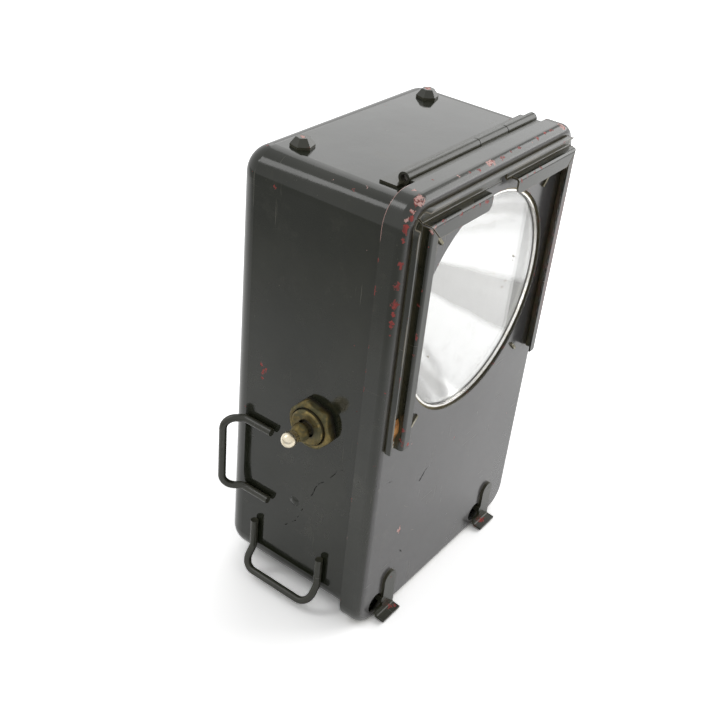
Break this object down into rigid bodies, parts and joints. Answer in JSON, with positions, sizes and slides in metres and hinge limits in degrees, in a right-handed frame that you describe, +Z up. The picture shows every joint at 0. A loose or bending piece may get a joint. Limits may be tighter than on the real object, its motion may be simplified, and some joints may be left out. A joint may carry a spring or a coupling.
{
  "type": "signal lamp",
  "caption": "Hand-held battery signal lamp: upright steel case, hinged front with round reflector lens and filter frame, side toggle switch, wire strap loops and spring catches.",
  "frame": {"origin": "centre of the bounding box on the plane the lamp stands on", "axes": "+X to the viewer's right of the lens side, +Y from the lens side to the back, +Z up"},
  "size_m": [0.1036, 0.0626, 0.1514],
  "materials": {
    "paint_case": "worn dark grey-green gloss enamel over red primer",
    "paint_cover": "worn dark grey-green gloss enamel, chipped to primer on its edges",
    "paint_frame": "worn dark enamel with red primer on the folds",
    "paint_trim": "dark enamel over soldered steel wire",
    "brass_ring": "dull tarnished brass",
    "brass_nut": "tarnished brass with green verdigris",
    "brass_inner": "clean drawn brass",
    "nickel": "worn nickel plate",
    "steel": "plain steel",
    "bronze_leaf": "rusty brown phosphor bronze",
    "lens": "clear flat glass, dusty",
    "bulb_glass": "clear blown glass",
    "mirror": "silvered parabola, a little cloudy",
    "tinned": "tinned steel",
    "bakelite": "dark brown moulded phenolic",
    "pressboard": "brown phenolic board",
    "battery_card": "plain paper jacket",
    "insulation": "waxed woven insulation"
  },
  "bodies": {
    "case": {"case_shell": "paint_case", "top_studs": "paint_case", "base_studs": "paint_case", "strap_loop_side": "paint_trim", "strap_loop_base": "paint_trim", "hinge_case_leaf": "paint_trim", "hinge_pin": "steel", "switch_bush": "brass_nut", "switch_nut": "brass_nut", "switch_pin": "steel", "switch_plate": "steel", "switch_body": "bakelite", "switch_terminals": "tinned", "catch_keepers": "tinned", "battery": "battery_card", "battery_tongues": "brass_inner", "battery_strap": "tinned", "strap_rivets": "paint_trim", "insulating_board": "pressboard", "board_brackets": "tinned", "battery_contact_short": "brass_inner", "battery_contact_long": "brass_inner", "lamp_contact": "brass_inner", "board_rivets": "tinned", "lead_battery": "insulation", "lead_lamp": "insulation"},
    "cover": {"cover_shell": "paint_cover", "hinge_cover_leaf": "paint_trim", "frame_rail_left": "paint_frame", "frame_rail_right": "paint_frame", "frame_rail_top": "paint_frame", "filter_leaf_spring": "bronze_leaf", "leaf_spring_rivets": "tinned", "reflector_clips": "tinned", "lens_ring": "brass_ring", "lens_glass": "lens", "reflector": "mirror", "bulb_holder": "brass_inner", "bulb_base": "brass_inner", "bulb_glass": "bulb_glass"},
    "lever": {"switch_lever": "nickel"},
    "catch_left": {"catch_left": "paint_trim"},
    "catch_right": {"catch_right": "paint_trim"}
  },
  "joints": [
    {"name": "cover_hinge", "type": "hinge", "parent": "case", "child": "cover", "pos_m": [0, -0.0153, 0.1496], "axis": [-1, 0, 0], "range_deg": [0, 115]},
    {"name": "switch_toggle", "type": "hinge", "parent": "case", "child": "lever", "pos_m": [-0.0378, -0.003, 0.0715], "axis": [0, 1, 0], "range_deg": [-12, 12], "stiffness_Nm_per_rad": 0.12},
    {"name": "catch_left_flex", "type": "hinge", "parent": "cover", "child": "catch_left", "pos_m": [-0.0234, -0.0278, 0.0173], "axis": [-1, 0, 0], "range_deg": [0, 10], "stiffness_Nm_per_rad": 0.25},
    {"name": "catch_right_flex", "type": "hinge", "parent": "cover", "child": "catch_right", "pos_m": [0.0366, -0.0278, 0.0173], "axis": [-1, 0, 0], "range_deg": [0, 10], "stiffness_Nm_per_rad": 0.25}
  ]
}
